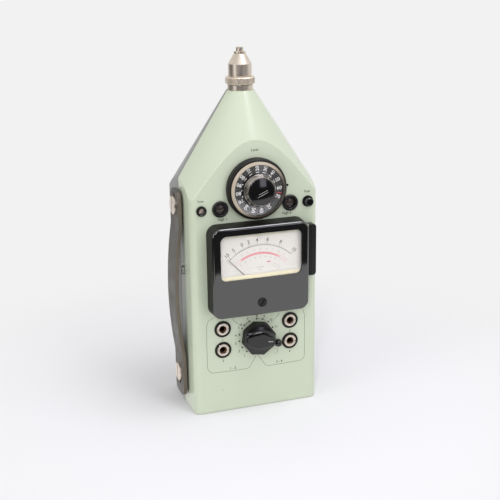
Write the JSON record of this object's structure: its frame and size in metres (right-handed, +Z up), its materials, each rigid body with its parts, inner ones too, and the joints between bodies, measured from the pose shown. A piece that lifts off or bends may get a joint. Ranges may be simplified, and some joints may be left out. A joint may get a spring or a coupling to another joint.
{
  "type": "sound level meter",
  "caption": "Hand-held analogue sound level meter: conical-topped cast case, range dial, moving-coil meter, concentric selector, sockets and a leather hand strap.",
  "frame": {"origin": "centre of the base, on the axis of the conical top", "axes": "+Z up along the neck's axis, -Y out of the control panel, +X to the panel's right"},
  "size_m": [0.1304, 0.0928, 0.3306],
  "materials": {
    "sage_enamel": "satin enamel",
    "grey_enamel": "satin enamel",
    "gasket_rubber": "matt",
    "black_bakelite": "polished",
    "black_plastic": "moulded",
    "satin_nickel": "satin",
    "zinc_steel": "plated",
    "brass": "turned",
    "copper": "tarnished",
    "clear_acrylic": "polished",
    "lamp_lens": "polished",
    "scale_card": "printed",
    "dial_print": "printed",
    "pointer_black": "matt black",
    "leather": "worn",
    "white_ptfe": "turned",
    "aluminium_plate": "rolled",
    "circuit_board": "laminate",
    "cell_jacket": "lithographed",
    "index_white": "enamel",
    "magnet_iron": "ground"
  },
  "bodies": {
    "case": {"adaptor_body": "satin_nickel", "adaptor_insulator": "white_ptfe", "adaptor_tip": "satin_nickel", "amplifier_board": "circuit_board", "attenuator_switch": "zinc_steel", "battery_cells": "cell_jacket", "battery_cover": "grey_enamel", "battery_tray": "aluminium_plate", "centre_pin": "brass", "chassis_pillars": "brass", "chassis_plate": "aluminium_plate", "cover_screws": "satin_nickel", "filter_board": "circuit_board", "front_shell": "sage_enamel", "gain_bush": "black_plastic", "input_socket": "satin_nickel", "jack_body_1": "black_bakelite", "jack_body_2": "black_bakelite", "jack_body_3": "black_bakelite", "jack_body_4": "black_bakelite", "jack_contacts": "copper", "jack_nuts": "satin_nickel", "lamp_bezel_left": "black_plastic", "lamp_bezel_right": "black_plastic", "lamp_bulbs": "clear_acrylic", "lamp_lens_left": "lamp_lens", "lamp_lens_right": "lamp_lens", "meter_bezel": "black_bakelite", "meter_housing": "black_plastic", "meter_window": "clear_acrylic", "movement_magnet": "magnet_iron", "preamplifier": "aluminium_plate", "range_index": "index_white", "rear_shell": "grey_enamel", "reset_switch": "black_plastic", "seam_gasket": "gasket_rubber", "selector_switch": "zinc_steel", "shell_screws": "zinc_steel", "side_stud": "satin_nickel", "socket_nut": "brass", "strap": "leather", "strap_screws": "satin_nickel", "strap_spacers": "satin_nickel", "tripod_bush": "brass"},
    "range_dial": {"range_dial": "black_plastic", "number_ring": "dial_print"},
    "range_cursor": {"cursor_disc": "clear_acrylic", "trim_ring": "satin_nickel", "range_cap": "black_bakelite"},
    "function_lever": {"function_lever": "zinc_steel", "lever_ball": "black_plastic"},
    "weighting_knob": {"weighting_knob": "black_bakelite"},
    "gain_adjuster": {"gain_shaft": "satin_nickel"},
    "reset_button": {"reset_button": "black_plastic"},
    "meter_pointer": {"pointer": "pointer_black", "moving_coil": "copper"},
    "scale_slide": {"scale_plate": "scale_card", "scale_grip": "black_plastic"},
    "zero_adjuster": {"zero_screw": "black_bakelite"},
    "coupling_ring": {"coupling_ring": "satin_nickel"}
  },
  "joints": [
    {"name": "range_dial_turn", "type": "hinge", "parent": "case", "child": "range_dial", "pos_m": [0, -0.0372, 0.2115], "axis": [0, -1, 0], "range_deg": [-72, 72]},
    {"name": "range_cursor_turn", "type": "hinge", "parent": "case", "child": "range_cursor", "pos_m": [0, -0.0372, 0.2115], "axis": [0, -1, 0], "range_deg": [-72, 96]},
    {"name": "function_lever_turn", "type": "hinge", "parent": "case", "child": "function_lever", "pos_m": [0, -0.0372, 0.071], "axis": [0, -1, 0], "range_deg": [0, 157.5]},
    {"name": "weighting_knob_turn", "type": "hinge", "parent": "case", "child": "weighting_knob", "pos_m": [0, -0.0372, 0.071], "axis": [0, -1, 0], "range_deg": [-22.5, 67.5]},
    {"name": "gain_adjuster_turn", "type": "hinge", "parent": "case", "child": "gain_adjuster", "pos_m": [-0.05013, -0.0372, 0.1948], "axis": [0, -1, 0], "range_deg": [-135, 135]},
    {"name": "reset_push", "type": "slide", "parent": "case", "child": "reset_button", "axis": [0, 1, 0], "range_m": [0, 0.003], "stiffness_N_per_m": 400, "springref_m": -0.001},
    {"name": "pointer_swing", "type": "hinge", "parent": "case", "child": "meter_pointer", "pos_m": [0, -0.0372, 0.12], "axis": [0, 1, 0], "range_deg": [0, 88], "stiffness_Nm_per_rad": 0.0002, "springref_deg": -20.05},
    {"name": "scale_pull", "type": "slide", "parent": "case", "child": "scale_slide", "axis": [1, 0, 0], "range_m": [0, 0.07]},
    {"name": "zero_screw_turn", "type": "hinge", "parent": "case", "child": "zero_adjuster", "pos_m": [0, -0.0372, 0.1096], "axis": [0, -1, 0], "range_deg": [-45, 45]},
    {"name": "coupling_ring_turn", "type": "hinge", "parent": "case", "child": "coupling_ring", "pos_m": [0, 0, 0.302], "axis": [0, 0, 1], "range_deg": [0, 360]}
  ]
}
